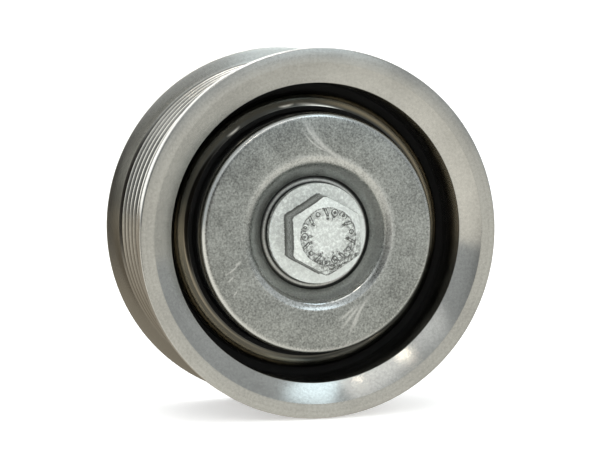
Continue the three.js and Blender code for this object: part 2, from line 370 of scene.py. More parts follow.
def turned_steel(name, color, roughness, anisotropy=0.7, mark_pitch=0.16, mark_depth=0.003,
                 track_tint=None):
    """Bare turned steel, mark_pitch and mark_depth in mm. An optional function tints the base."""
    material, tree, shader = new_material(name, color, roughness, 1.0, Anisotropic=anisotropy,
                                          Anisotropic_Rotation=QUARTER_TURN)
    point = position(tree)
    radius, split = axis_distance(tree, point)
    travel = math_node(tree, "ADD", radius, math_node(tree, "DIVIDE", split.outputs["Y"], MM))
    marks = lathe_noise(tree, travel, mark_pitch, 3.0, 0.6)
    bands = lathe_noise(tree, travel, BAND_PITCH, 1.0)
    stains = noise(tree, point, 90.0, 4.0, 0.6)
    specks = noise(tree, point, 2600.0, 1.0)
    grain = noise(tree, point, 1700.0, 3.0, 0.7)
    fine_tone = math_node(tree, "MULTIPLY_ADD", bands, 0.2, product(tree, grain, 0.4))
    tone = math_node(tree, "MULTIPLY_ADD", stains, 0.4, fine_tone)
    base = mix_color(tree, remap(tree, tone, 0.38, 0.62, 0.0, 1.0),
                     scaled(color, 0.82), scaled(color, 1.12))
    if track_tint:
        base = track_tint(tree, base, radius, split)
    tree.links.new(base, shader.inputs["Base Color"])
    rough = math_node(tree, "MULTIPLY_ADD", specks, 0.04,
                      remap(tree, stains, 0.3, 0.7, roughness - 0.04, roughness + 0.02))
    tree.links.new(rough, shader.inputs["Roughness"])
    tangent = add(tree, "ShaderNodeTangent", direction_type="RADIAL", axis="Y")
    tree.links.new(tangent.outputs["Tangent"], shader.inputs["Tangent"])
    bump(tree, shader, marks, 0.5, mark_depth * MM)
    return material


rim_steel = turned_steel("rim_turned_steel", (0.67, 0.665, 0.64), 0.17, 0.75)
spacer_steel = turned_steel("spacer_turned_steel", (0.56, 0.555, 0.54), 0.32)
bearing_steel = turned_steel("bearing_ground_steel", (0.66, 0.665, 0.67), 0.16, 0.4, 0.05, 0.001)
print("turned steels:", rim_steel.name, spacer_steel.name, bearing_steel.name)

# %% [markdown]
# ## Steel in the belt track
# The grooves are cut by a formed tool that leaves them smooth, so this steel has no stretched
# highlight. The colour darkens to near black towards the groove roots and fades back towards the
# crests, the walls of the two flanges are dull, and a painted brown reflection lies on the lower
# left. Three masks over place say where each tone sits. The brown could be a second material on
# its own faces, but its edge would then be hard.

# %% Material: groove steel with darker roots and a painted reflection
crest_radius = 37.2
root_dark_color = scaled((0.80, 0.78, 0.73), 0.06)
wall_color = (0.27, 0.265, 0.25)
painted_brown_reflection = (0.21, 0.18, 0.14)


def track_tones_and_reflection(tree, base, radius, split):
    """Darker groove roots, dull walls above the crests, and a painted brown reflection on one side.
    """
    # Darker towards the groove roots, fading out towards the crests.
    root_darkening = remap(tree, radius, crest_radius - 0.7, crest_radius - 0.03, 1.0, 0.0)
    base = mix_color(tree, root_darkening, base, root_dark_color)
    wall_start = remap(tree, radius, crest_radius, crest_radius + 0.3, 0.0, 0.35)
    wall_end = remap(tree, radius, rim_radius - 0.7, rim_radius - 0.2, 1.0, 0.0)
    base = mix_color(tree, product(tree, wall_start, wall_end), base, wall_color)
    # A painted brown reflection darkens the lower left.
    x_plus_z = math_node(tree, "ADD", split.outputs["X"], split.outputs["Z"])
    brown_reflection = remap(tree, product(tree, x_plus_z, -0.7), 0.016, 0.035, 0.0, 0.85)
    return mix_color(tree, brown_reflection, base, painted_brown_reflection)


groove_steel = turned_steel("rim_groove_steel", (0.80, 0.78, 0.73), 0.14, 0.0,
                            track_tint=track_tones_and_reflection)
print("nodes in the groove steel:", len(groove_steel.node_tree.nodes))

# %% [markdown]
# ## Scuffs and painted highlights
# Hands and tools leave pale marks on the cover disc as it is fitted. On the ring of the hub round
# it, pale arcs of the same kind are painted highlights. Each mark is a thin arc. The distance from
# a far-off centre is compared with the arc's own radius, and a soft mask limits its length.
# Painting such marks by hand would need an image; three points on each arc are enough here. A
# point is given as on a clock, by an angle from the right and a distance from the axis.

# %% Helpers for scuffs and painted highlights
def clock_point(angle_degrees, radius_mm):
    """A point seen from the front, in metres across and up, from an angle and a radius."""
    angle = math.radians(angle_degrees)
    return Vector((math.cos(angle), math.sin(angle))) * radius_mm * MM


def scuff_and_highlight_arc(start, middle, end, width_mm):
    """An arc through three (angle, radius) points, for arc_mask: a pale mark or a painted
    highlight.
    """
    first, second, third = (clock_point(*place) for place in (start, middle, end))
    along, beyond = second - first, third - first
    twice_area = 2 * (along.x * beyond.y - along.y * beyond.x)
    a, b = along.length_squared, beyond.length_squared
    centre = first + Vector((beyond.y * a - along.y * b, along.x * b - beyond.x * a)) / twice_area
    reach = max((first - second).length, (third - second).length)
    return (centre, (centre - first).length, width_mm * MM, second, reach)


def arc_mask(tree, point, centre, arc_radius, width, middle, reach):
    """A thin soft arc: 1 on a circle about centre, near the point called middle. In metres."""
    flat = add(tree, "ShaderNodeVectorMath", {0: point, 1: (1, 0, 1)}, operation="MULTIPLY")
    away = distance_to(tree, flat.outputs[0], (centre[0], 0, centre[1]))
    line = remap(tree, off_middle(tree, away, arc_radius), 0.0, width, 1.0, 0.0)
    near = distance_to(tree, flat.outputs[0], (middle[0], 0, middle[1]))
    return product(tree, line, remap(tree, near, 0.3 * reach, reach, 1.0, 0.0))


def all_marks(tree, point, marks):
    """One mask for a list of scuffs."""
    masks = [arc_mask(tree, point, *mark) for mark in marks]
    joined = masks[0]
    for mask in masks[1:]:
        joined = math_node(tree, "MAXIMUM", joined, mask)
    return joined


# %% [markdown]
# ## Black coating and the dark hub
# The narrow channel between rim and hub keeps the black coating that the blank was dipped in,
# and the rounded lip of the hub has the same coating worn thin and glossy over dark steel. The
# first is nearly a hole for light: a very dark colour, rough, with a fine orange-peel bump. The
# second is a dark metal with a low roughness, so it still mirrors its surroundings. On two
# opposite sides of the lip's outer part a brown reflection is painted into the colour, and at
# the top a pale streak and two spots are painted highlights. These could be left to real
# reflections, but they would then vanish from other sides, so they are painted into the colour.

# %% Materials: black coating and dark hub steel
# A brown reflection is painted on two opposite sides of the hub's lip.
painted_reflection_direction = (0.8, 0, 0.6)
painted_reflection_across = (0.0175, 0.0235)
painted_reflection_ring = (27.6, 28.2)
painted_highlight_color = (1.0, 0.94, 0.84)


def painted_reflection_zones(tree, point):
    """1 on the two sides of the hub's lip that get a painted brown reflection, outside its inner
    edge.
    """
    across = add(tree, "ShaderNodeVectorMath", {0: point, 1: painted_reflection_direction},
                 operation="DOT_PRODUCT").outputs["Value"]
    sides = remap(tree, math_node(tree, "ABSOLUTE", across), *painted_reflection_across, 0.0, 1.0)
    outer_part = remap(tree, axis_distance(tree, point)[0], *painted_reflection_ring, 0.0, 1.0)
    return product(tree, sides, outer_part)


def coating(name, color, roughness, metallic, grain=1500.0, grain_depth=0.01, painted_reflection_color=None,
            painted_highlights=(), **values):
    """A thin dark skin. grain_depth is in mm; the optional colour and arcs are painted reflection
    and highlights.
    """
    material, tree, shader = new_material(name, color, roughness, metallic, **values)
    point = position(tree)
    grain_noise = noise(tree, point, grain, 3.0, 0.6)
    blotches = noise(tree, point, 140.0, 3.0, 0.6)
    base = mix_color(tree, remap(tree, blotches, 0.4, 0.7, 0.0, 1.0), color, scaled(color, 1.5))
    # Painted brown reflection, then painted highlights.
    if painted_reflection_color:
        base = mix_color(tree, painted_reflection_zones(tree, point), base, painted_reflection_color)
    if painted_highlights:
        base = mix_color(tree, all_marks(tree, point, painted_highlights), base, painted_highlight_color)
    tree.links.new(base, shader.inputs["Base Color"])
    tree.links.new(remap(tree, blotches, 0.3, 0.7, roughness - 0.05, roughness + 0.08),
                   shader.inputs["Roughness"])
    bump(tree, shader, grain_noise, 0.35, grain_depth * MM)
    return material


black_coating = coating("black_coating", (0.004, 0.004, 0.004), 0.7, 0.0, Specular_IOR_Level=0.25)
# Painted highlights on the hub's lip: a pale streak and two spots.
hub_painted_highlights = [
    scuff_and_highlight_arc((73, 27.4), (85, 27.5), (97, 28.0), 0.45),
    scuff_and_highlight_arc((97, 28.1), (101, 27.9), (105, 28.1), 0.35),
    scuff_and_highlight_arc((124, 28.0), (128, 27.8), (132, 28.0), 0.35),
]
hub_steel = coating("dark_hub_steel", (0.09, 0.088, 0.078), 0.1, 1.0, 900.0, 0.0015,
                    painted_reflection_color=(0.36, 0.32, 0.25), painted_highlights=hub_painted_highlights)
print("rubbed marks on the hub:", len(hub_painted_highlights))

# %% [markdown]
# ## The grooved rim
# The rim is one turned piece: a thick front flange with a bevelled mouth, eight V-shaped grooves
# for the belt's ribs, a thin rear flange, then the web and the hub that holds the bearing. The
# grooves repeat, so a loop draws them. A groove could be cut from a plain cylinder with a
# boolean, but in an outline it is just four corners.

# %% The rim's sizes
rib_pitch = 3.56
groove_count = 8
groove_root = 34.2
crest_land = 0.9
groove_wall_degrees = 20
flange_tip = 2.3
bearing_front, bearing_rear = depths("bearing_outer_ring")
bearing_radius = outer_radius("bearing_outer_ring")
fit_gap = 0.1
hub_bore = bearing_radius + fit_gap
hub_radius = 30.5
hub_rear = bearing_rear + 2.6
lip_round = 3.6
lip_front = 8.6
lip_bore = 26.4
recess_radius = 24.8
mouth_radius = 32.5
web_front = 12.6
web_rear = 24.0
bevel_radius = 36.8
bevel_depth = 2.5
recess_front, recess_rear = 7.4, 10.4
shoulder_radius = 22.0
snap_groove_depth = 1.4
snap_groove_width = 1.8


# %% [markdown]
# The outline is drawn in three runs, each a list of (radius, depth, rounding): the belt track
# on the outside, the inside from the rear face forwards, and within that the lip of the hub.

# %% The rim's outline
def belt_track():
    """The outside of the rim, from the front face over the grooves to the rear face."""
    half_land = crest_land / 2
    wall_run = (crest_radius - groove_root) * math.tan(math.radians(groove_wall_degrees))
    half_root = rib_pitch / 2 - half_land - wall_run
    rear_foot = rim_depth - 0.9
    first = rear_foot - rib_pitch / 2 + half_land - (groove_count - 1) * rib_pitch
    corners = [(rim_radius, 0, 0.35), (rim_radius, flange_tip, 0.35),
               (crest_radius, first - rib_pitch / 2 + half_land, 0.3)]
    for groove in range(groove_count):
        middle = first + groove * rib_pitch
        corners.append((groove_root, middle - half_root, 0.2))
        corners.append((groove_root, middle + half_root, 0.2))
        if groove < groove_count - 1:
            corners.append((crest_radius, middle + rib_pitch / 2 - half_land, 0.3))
            corners.append((crest_radius, middle + rib_pitch / 2 + half_land, 0.3))
    corners.append((crest_radius, rear_foot, 0.1))
    corners.append((rim_radius, rear_foot + 0.2, 0.12))
    corners.append((rim_radius, rim_depth - 0.4, 0.1))
    corners.append((rim_radius - 0.4, rim_depth, 0.1))
    return corners


def hub_lip():
    """The broad rounding on the front of the hub, from its bore outwards."""
    angles = [math.radians(degrees) for degrees in range(-86, 1, 4)]
    centre_radius, centre_depth = hub_radius - lip_round, lip_front + lip_round
    return [(centre_radius + lip_round * math.cos(a), centre_depth + lip_round * math.sin(a), 0)
            for a in angles]


def rim_inside():
    """The mouth, web and hub, from the rear face forwards to the bevel."""
    groove_front = bearing_rear + 0.2
    groove_rear = groove_front + snap_groove_width
    groove_radius = hub_bore + snap_groove_depth
    shoulder = bearing_front - fit_gap
    return [
        (mouth_radius, rim_depth, 0.4), (mouth_radius, web_rear, 1.0),
        (hub_radius, web_rear, 1.0), (hub_radius, hub_rear, 0.4), (hub_bore, hub_rear, 0.15),
        (hub_bore, groove_rear, 0.05), (groove_radius, groove_rear, 0.1),
        (groove_radius, groove_front, 0.1), (hub_bore, groove_front, 0.05),
        (hub_bore, shoulder, 0.1), (shoulder_radius, shoulder, 0.1),
        (shoulder_radius, recess_front, 0.2), (recess_radius, recess_front, 0.3),
        (recess_radius, recess_rear, 0.4), (lip_bore, recess_rear, 0.4),
        (lip_bore, lip_front + 0.1, 0.12), *hub_lip(),
        (hub_radius, web_front, 0.3), (mouth_radius, web_front, 0.6),
        (mouth_radius, bevel_depth, 0.25), (bevel_radius, 0, 0.06),
    ]


rim_outline = rounded(belt_track() + rim_inside())
rim = turned("pulley_rim_fine", rim_outline)
print("points on the rim's outline:", len(rim_outline))

# %% [markdown]
# Four finishes meet on this one piece: turned steel, the soiled steel of the belt track, the
# black coating and the hub's dark steel. They could be four objects, but the real thing is one
# lump of steel, so the faces themselves are sorted: each face looks at its own radius and depth
# and takes a slot.

# %% Sort the rim's faces by finish
TURNED, COATED, HUB, GROOVED = range(4)
for material in (rim_steel, black_coating, hub_steel, groove_steel):
    rim.data.materials.append(material)


def rim_finish(centre):
    """Which finish a face of the rim has."""
    radius = math.hypot(centre.x, centre.z) / MM
    depth = depth_of(centre.y)
    if radius > mouth_radius + 1 and flange_tip + 0.3 < depth < rim_depth - 0.05:
        return GROOVED
    if radius > mouth_radius - 0.1 or depth > web_rear - 1 or radius < hub_bore + 0.1:
        return TURNED
    return HUB if radius > lip_bore + 0.9 and depth < lip_front + lip_round else COATED


for face in rim.data.polygons:
    face.material_index = rim_finish(face.center)
stands_for(rim, "pulley_rim", "pulley", None)

# %% [markdown]
# ## Matt zinc
# The cover disc is pressed from sheet and zinc plated. The plating is dull and slightly mottled,
# with fine pores, and handling has left pale scuffs. The mottling is two noises of different
# size. The dish is painted lighter against the shade it lies in, and painted shade darkens its
# crease and the floor round the bolt's flange. Round the mouth of the dish and along the rim the
# colour rises as a painted highlight, and on the rim and the mouth's lower half the roughness
# falls with it.

# %% The tones of the dished middle
dish_radius = 15.0
crease_radius = 12.15
flange_shade_radius = 11.4
shoulder_ring = 16.4
lip_ring = 15.7


def ring_mask(tree, radius, middle, full, faded):
    """1 on a ring about the axis, fading to 0. All in mm."""
    return remap(tree, off_middle(tree, radius, middle), full, faded, 1.0, 0.0)


def dish_tones(tree, point, base, mottle):
    """Dish, mouth and rim colour with painted light, shade and highlights, and how polished they
    are.
    """
    radius, split = axis_distance(tree, point)
    # The dish is painted lighter, against the shade it lies in.
    in_dish = remap(tree, radius, dish_radius - 0.6, dish_radius, 1.0, 0.0)
    base = mix_color(tree, product(tree, in_dish, 0.45), base, (0.86, 0.86, 0.84))
    # Painted shade in the crease and on the floor under the flange's edge.
    crease = ring_mask(tree, radius, crease_radius, 0.2, 0.35)
    under_flange = remap(tree, radius, flange_shade_radius - 0.3, flange_shade_radius, 1.0, 0.0)
    dark = math_node(tree, "MAXIMUM", crease, under_flange)
    base = mix_color(tree, product(tree, dark, 0.92), base, (0.03, 0.03, 0.03))
    # Painted highlights: a ring at the mouth's outer edge on the upper half, the mouth's lip on the
    # lower half.
    lean = math_node(tree, "MULTIPLY_ADD", split.outputs["X"], 0.45, split.outputs["Z"])
    upper_half = remap(tree, lean, -0.006, 0.006, 0.12, 1.0)
    shoulder = product(tree, ring_mask(tree, radius, shoulder_ring, 0.3, 1.3), upper_half)
    lower_half = remap(tree, split.outputs["Z"], -0.006, -0.012, 0.0, 1.0)
    lip = product(tree, ring_mask(tree, radius, lip_ring, 0.9, 1.3), lower_half)
    painted_highlight = math_node(tree, "MAXIMUM", shoulder, lip)
    patchy = product(tree, painted_highlight, remap(tree, mottle, 0.36, 0.6, 0.35, 1.0))
    base = mix_color(tree, patchy, base, (0.97, 0.98, 0.96))
    # The rolled rim is painted bright as a highlight; its roughness falls as well.
    edge = remap(tree, radius, disc_radius - 1.3, disc_radius - 0.5, 0.0, 0.85)
    base = mix_color(tree, edge, base, (0.95, 0.96, 0.95))
    return base, math_node(tree, "MAXIMUM", edge, lip)


# %% [markdown]
# The plating itself comes next. The mottling, a slower cloudiness and the pores are three noises
# of different size, and the first of them also breaks up the painted highlight ring and the
# roughness.

# %% Material: matt zinc
def matt_zinc(name, color, roughness, scuffs=(), dished=False):
    """Dull mottled plating. dished adds the dish's tones, painted light, shade and highlights."""
    material, tree, shader = new_material(name, color, roughness, 1.0)
    point = position(tree)
    mottle = noise(tree, point, 2300.0, 5.0, 0.78)
    clouds = noise(tree, point, 110.0, 3.0, 0.6, 0.4)
    pores = noise(tree, point, 3200.0, 2.0)
    tone = math_node(tree, "MULTIPLY_ADD", mottle, 0.75, product(tree, clouds, 0.25))
    base = mix_color(tree, remap(tree, tone, 0.39, 0.61, 0.0, 1.0),
                     scaled(color, 0.5), scaled(color, 1.5))
    polished = 0.0
    if dished:
        base, polished = dish_tones(tree, point, base, mottle)
    if scuffs:
        broken = product(tree, all_marks(tree, point, scuffs),
                         remap(tree, pores, 0.3, 0.6, 0.6, 1.0))
        base = mix_color(tree, broken, base, (1.0, 1.0, 0.98))
    tree.links.new(base, shader.inputs["Base Color"])
    rough = remap(tree, mottle, 0.3, 0.7, roughness - 0.07, roughness + 0.07)
    tree.links.new(math_node(tree, "MULTIPLY_ADD", polished, -0.2, rough),
                   shader.inputs["Roughness"])
    height = math_node(tree, "MULTIPLY_ADD", pores, 0.6, product(tree, mottle, 0.4))
    bump(tree, shader, height, 0.5, 0.012 * MM)
    return material


# %% [markdown]
# The scuffs are listed one by one, each as three points on its arc. The first three run from the
# top towards the dish, the next four are short nicks at the left, and the last four fan out at
# the lower right.

# %% Scuffs on the cover
disc_scuffs = [
    scuff_and_highlight_arc((97, 23.6), (91, 20.0), (68, 17.3), 0.55),
    scuff_and_highlight_arc((94, 22.4), (86, 18.8), (62, 17.0), 0.7),
    scuff_and_highlight_arc((99, 22.4), (93, 19.4), (78, 17.6), 0.3),
    scuff_and_highlight_arc((202, 22.8), (201, 20.6), (198, 18.6), 0.3),
    scuff_and_highlight_arc((199, 19.8), (198.5, 19.0), (197, 18.0), 0.5),
    scuff_and_highlight_arc((206, 22.8), (205.5, 21.8), (204, 20.6), 0.25),
    scuff_and_highlight_arc((214, 23.2), (213.6, 22.4), (212.5, 21.5), 0.25),
    scuff_and_highlight_arc((288, 23.0), (297, 19.8), (314, 17.8), 0.5),
    scuff_and_highlight_arc((285, 21.2), (292, 19.6), (304, 18.0), 0.5),
    scuff_and_highlight_arc((285, 19.4), (291, 18.7), (300, 17.8), 0.5),
    scuff_and_highlight_arc((290, 22.4), (294, 21.0), (299, 19.6), 0.4),
]
cover_zinc = matt_zinc("cover_matt_zinc", (0.50, 0.515, 0.50), 0.34, disc_scuffs, dished=True)
shield_zinc = matt_zinc("shield_matt_zinc", (0.42, 0.42, 0.42), 0.45)
print("scuffs on the cover:", len(disc_scuffs))

# %% [markdown]
# ## The cover disc
# The disc keeps dirt out of the bearing and carries the clamp load of the bolt: a flat annulus
# with a rolled skirt at its rim and a dish in its middle. It is one outline, turned. The soft
# shoulder of the dish and the rolled rim are large roundings, as pressing gives, while the crease
# at the edge of the dish's floor is a tight V.

# %% Make the cover disc
sheet = 1.8
dish_floor = 5.0
disc_bore = 5.5
crease_depth = 0.25
dish_back = dish_floor + sheet - 0.1
disc_outline = rounded([
    (disc_radius, disc_front, 1.5), (disc_radius, disc_back, 0.3),
    (disc_radius - sheet, disc_back, 0.3), (disc_radius - sheet, disc_front + sheet, 0.5),
    (17.0, disc_front + sheet, 1.5), (13.2, dish_back, 0.8),
    (disc_bore, dish_back, 0.2), (disc_bore, dish_floor, 0.2),
    (11.7, dish_floor, 0.1), (11.95, dish_floor + crease_depth, 0.1), (12.2, dish_floor, 0.05),
    (15.3, disc_front + 0.32, 1.8), (16.7, disc_front, 1.2),
])
cover = turned("cover_disc_fine", disc_outline)
stands_for(cover, "cover_disc", "core", cover_zinc)

# %% [markdown]
# ## Bright zinc on the bolt
# The bolt was cold forged and then plated, so it is bright but not smooth: the skin is finely
# dimpled, dirt sits on it, and painted shade darkens its corners, the line round the stamped
# marks and the edge of its flange. A bump from two noises makes the dimples. Where the dark goes
# is a matter of shape, so the mesh will carry it: each point gets a number for its dirt and
# painted shade, and the material reads it and breaks it up with noise.

# %% Material: bright zinc
def bright_zinc(name, color, roughness):
    """Dimpled bright plating, darkened by dirt and painted shade where the mesh's stored value
    says.
    """
    material, tree, shader = new_material(name, color, roughness, 0.3)
    point = position(tree)
    dimples = noise(tree, point, 1900.0, 3.0, 0.6)
    lumps = noise(tree, point, 500.0, 3.0, 0.6)
    tone = remap(tree, lumps, 0.35, 0.65, 0.0, 1.0)
    base = mix_color(tree, tone, scaled(color, 0.86), color)
    # The mesh's value mixes dirt with painted shade in the creases and on the flange's edge.
    grime_and_shade = add(tree, "ShaderNodeAttribute", attribute_name="grime_and_shade").outputs["Fac"]
    broken = remap(tree, noise(tree, point, 1500.0, 4.0, 0.75), 0.36, 0.56, 0.0, 1.0)
    solid = remap(tree, grime_and_shade, 0.5, 1.0, 0.0, 1.0)
    patchy = product(tree, remap(tree, grime_and_shade, 0.0, 0.5, 0.0, 1.0), broken)
    dirt_and_shade = math_node(tree, "MAXIMUM", solid, patchy)
    base = mix_color(tree, product(tree, dirt_and_shade, 0.95), base, (0.04, 0.039, 0.034))
    tree.links.new(base, shader.inputs["Base Color"])
    tree.links.new(remap(tree, lumps, 0.3, 0.7, roughness - 0.06, roughness + 0.1),
                   shader.inputs["Roughness"])
    height = math_node(tree, "MULTIPLY_ADD", dimples, 0.5, product(tree, lumps, 0.5))
    bump(tree, shader, height, 0.7, 0.045 * MM)
    return material


bolt_zinc = bright_zinc("bolt_bright_zinc", (0.81, 0.85, 0.81), 0.4)

# %% [markdown]
# ## The flange bolt
# A hexagon head, a flange, a plain shank and a thread all sit on one axis, but only the flange
# and shank are round. Booleans could join a prism, a cone and a screw; they leave messy
# triangles. Instead the whole bolt is one woven skin: columns run round the axis, and each
# column follows its own outline, whose radius depends on its angle. Along the head that gives
# the hexagon, and along the tip it gives a true helical thread.

# %% The bolt's sizes
bolt_front, bolt_tip = depths("flange_bolt")
bolt_flange = 10.9
bolt_seat = 4.9
head_top = bolt_front + 0.17
hex_flat = 7.5
hex_foot = 2.0
top_circle = 6.2
chamfer_slope = math.tan(math.radians(30))
flange_lean = 0.22
thread_major = 5.0
thread_depth = 0.92
thread_pitch = 1.5
thread_start = bolt_tip - 26.0
shank_radius = thread_major - 0.02
BOLT_COLUMNS = 360
THREAD_ROWS = 10
hex_turn = math.radians(1.5)


def hex_radius(angle):
    """Radius of the hexagon at an angle, with its corners slightly worn."""
    sixth = math.pi / 3
    off_flat = (angle - hex_turn + sixth / 2) % sixth - sixth / 2
    sharp = hex_flat / math.cos(off_flat)
    worn = 0.985 * hex_flat / math.cos(sixth / 2)
    return min(sharp, worn - 0.5 * max(0.0, sharp - worn))


def flange_rise(radius):
    """How far the flange's top falls away from the hexagon's foot, by radius."""
    return flange_lean * (radius - hex_flat)


# %% [markdown]
# The head's top carries a ring of raised marks, struck when the bolt was forged. Here they are
# plain shapes in no order that reads as anything: dots, rings, half rings and leaning bars. Each
# mark is a distance: how far inside its outline a point lies. The same distance gives the mark's
# height and, later, the line of painted shade round it.

# %% The raised marks on the head
MARK_COUNT = 17
MARK_ROWS = 20
DOT, RING, LEFT_BAR, RIGHT_BAR, HALF_RING = range(5)
mark_ring = 5.25
mark_inner = 4.5
mark_height_mm = 0.16
line_half_width = 0.17
bar_half_length = 0.62


def mark_edge(angle, radius):
    """How far inside a mark a point of the head's top is, in mm; negative outside."""
    place = angle / (2 * math.pi) * MARK_COUNT
    kind = (int(place) * 7) % 5
    across = (place % 1 - 0.5) * 2 * math.pi * radius / MARK_COUNT
    along = radius - mark_ring
    if kind == DOT:
        return 0.34 - math.hypot(across, along)
    if kind == RING:
        return line_half_width - abs(math.hypot(across, along) - 0.45)
    if kind == HALF_RING:
        outer_half = along > -0.1
        return 0.2 - abs(math.hypot(across, 0.8 * (along - 0.3)) - 0.5) if outer_half else -0.3
    lean = {LEFT_BAR: -0.35, RIGHT_BAR: 0.35}[kind]
    return min(line_half_width - abs(across - lean * along), bar_half_length - abs(along))


def mark_height(angle, radius):
    """Height of the raised marks at a point of the head's top, with sloping sides."""
    return mark_height_mm * min(1.0, max(0.0, mark_edge(angle, radius) / 0.1 + 0.5))


# %% [markdown]
# The thread is a V-shaped valley whose depth along the bolt shifts by one pitch in each turn, so
# a column only has to know its own angle.

# %% The thread and the shank
def thread_radius(angle, depth):
    """Radius of the thread's flank: a V that climbs one pitch in each turn."""
    turn = (depth / thread_pitch - angle / (2 * math.pi)) % 1
    valley = max(0.0, 1 - abs(turn - 0.5) * 2 / 0.86)
    fade_in = min(1.0, max(0.0, (depth - thread_start) / 1.5))
    return shank_radius - thread_depth * valley * fade_in


def shank_column(angle):
    """The plain shank, then the thread in ten steps to a pitch, then the tip's chamfer."""
    column = [(shank_radius, 0.5 * (bolt_seat + thread_start)), (shank_radius, thread_start)]
    steps = int((bolt_tip - 1.0 - thread_start) / thread_pitch * THREAD_ROWS)
    for step in range(1, steps + 1):
        depth = thread_start + step * thread_pitch / THREAD_ROWS
        taper = max(0.0, depth - (bolt_tip - 1.3)) * 0.9
        column.append((min(thread_radius(angle, depth), thread_major - taper), depth))
    return column + [(3.75, bolt_tip - 0.1), (3.2, bolt_tip)]


# %% [markdown]
# A column starts near the middle of the head's top, crosses the marks, drops over the chamfer
# and down a flat or a corner of the hexagon, runs out over the flange, turns under it to the
# seat, and ends with the shank. Every column has the same number of points.

# %% One column of the bolt
def bolt_column(angle):
    """Outline of the bolt at one angle, from the middle of the head to the tip, in mm."""
    corner = hex_radius(angle)
    column = [(share * mark_inner, head_top) for share in (0.12, 0.4, 0.7, 1.0)]
    for step in range(1, MARK_ROWS):
        radius = mark_inner + step * (top_circle - mark_inner) / MARK_ROWS
        column.append((radius, head_top - mark_height(angle, radius)))
    column += [(top_circle - 0.03, head_top), (top_circle + 0.08, head_top + 0.03)]
    for share in (0.35, 0.7, 0.93):
        radius = top_circle + share * (corner - top_circle)
        column.append((radius, head_top + (radius - top_circle) * chamfer_slope))
    edge = head_top + (corner - top_circle) * chamfer_slope
    column.append((corner - 0.01, edge + 0.12))
    column += [(corner, edge + share * (hex_foot - edge)) for share in (0.33, 0.66)]
    column.append((corner + 0.02, hex_foot - 0.25))
    column.append((corner + 0.12, hex_foot + flange_rise(corner) - 0.06))
    return column + flange_column(corner + 0.3) + shank_column(angle)


def flange_column(start):
    """The flange, from the foot of the hexagon out to its edge and back under it to the shank."""
    end = bolt_flange - 0.25
    radii = [start + share * (end - start) for share in (0.0, 0.2, 0.45, 0.7, 0.9)]
    edge = hex_foot + flange_rise(bolt_flange)
    return [(radius, hex_foot + flange_rise(radius)) for radius in radii] + [
        (bolt_flange - 0.1, edge + 0.05), (bolt_flange, edge + 0.2),
        (bolt_flange, bolt_seat - 0.25), (bolt_flange - 0.2, bolt_seat),
        (6.2, bolt_seat), (5.15, bolt_seat + 0.05), (shank_radius, bolt_seat + 0.3),
    ]


# %% [markdown]
# The skin joins each column to the next with squares. A fan of triangles closes each end.

# %% Weave the columns into a skin
def woven(name, columns):
    """Join columns of (radius, depth) round the Y axis, closed at both ends by a fan."""
    bm = bmesh.new()
    grid = []
    for index, column in enumerate(columns):
        angle = 2 * math.pi * index / len(columns)
        across, up = math.cos(angle) * MM, math.sin(angle) * MM
        grid.append([bm.verts.new((across * radius, front_face_y + depth * MM, up * radius))
                     for radius, depth in column])
    first = bm.verts.new((0, front_face_y + columns[0][0][1] * MM, 0))
    last = bm.verts.new((0, front_face_y + columns[0][-1][1] * MM, 0))
    for here, there in zip(grid, grid[1:] + grid[:1]):
        bm.faces.new((first, there[0], here[0]))
        bm.faces.new((last, here[-1], there[-1]))
        for row in range(len(here) - 1):
            bm.faces.new((here[row], there[row], there[row + 1], here[row + 1]))
    return shown(name, mesh_from(bm, name), crease_degrees=32)


bolt = woven("flange_bolt_fine",
             [bolt_column(2 * math.pi * i / BOLT_COLUMNS) for i in range(BOLT_COLUMNS)])

# %% [markdown]
# Grime settles where a cloth can't reach, and shade is painted into the creases. The number stored
# at each point is high on the line round each mark, along the head's edge, on the flats of the
# hexagon and along its foot, and on the edge of the flange: there it is painted shade, on the
# flange's edge standing for its shaded wall. It is middling in the valleys of the thread and low
# on the shank and the flange's top. The head's top between the marks gets a little painted shade
# mixed with dirt specks. Above a half the dark is solid; below it, only patches show.

# %% Say where the grime and painted shade sit
def towards(angle, degrees):
    """1 on the side that lies at so many degrees on the clock, 0 on the opposite side."""
    return 0.5 + 0.5 * math.cos(angle - math.radians(degrees))


def grime_and_shade_on_top(angle, radius):
    """How dark the head's top is made by dirt and painted shade, from 0 to 1."""
    lower = towards(angle, 280)
    # Painted shade along the head's edge and round each mark; between them, painted shade and dirt.
    edge_ring = max(0.0, 1 - abs(radius - top_circle) / 0.5)
    if radius > 4 and -0.2 < mark_edge(angle, radius) < 0.01:
        return 1.0
    between = 0.3 + 0.15 * lower if radius > mark_inner else 0.18
    return min(1.0, max(edge_ring * (0.75 + 0.35 * lower), between))


def grime_and_shade_at(point):
    """How dark the bolt is made by dirt and painted shade at a point of its mesh, from 0 to 1."""
    radius, depth = math.hypot(point.x, point.z) / MM, depth_of(point.y)
    angle = math.atan2(point.z, point.x) % (2 * math.pi)
    corner = hex_radius(angle)
    on_top = depth < head_top + 0.02
    on_hexagon = depth < hex_foot - 0.3
    on_foot = depth < hex_foot + 0.3 and radius < corner + 0.14
    on_flange_edge = depth > bolt_seat - 1.75 and radius > bolt_flange - 0.12
    if on_top:
        return grime_and_shade_on_top(angle, radius)
    if on_hexagon and radius < corner - 0.02:
        return 0.14 + 0.42 * max(0.0, math.cos(angle - math.radians(300))) ** 2
    # The hexagon's sides and its foot are painted dark as shade.
    if on_hexagon:
        return 1.0 if radius < corner - 0.005 else 0.84
    if on_foot:
        return 1.0
    # The flange's edge is painted dark for the shade on its wall.
    if on_flange_edge:
        return 0.9
    if depth > bolt_seat:
        in_valley = depth > thread_start and radius < thread_major - 0.45
        return 0.58 if in_valley else 0.12
    return 0.07 + 0.13 * towards(angle, 125)


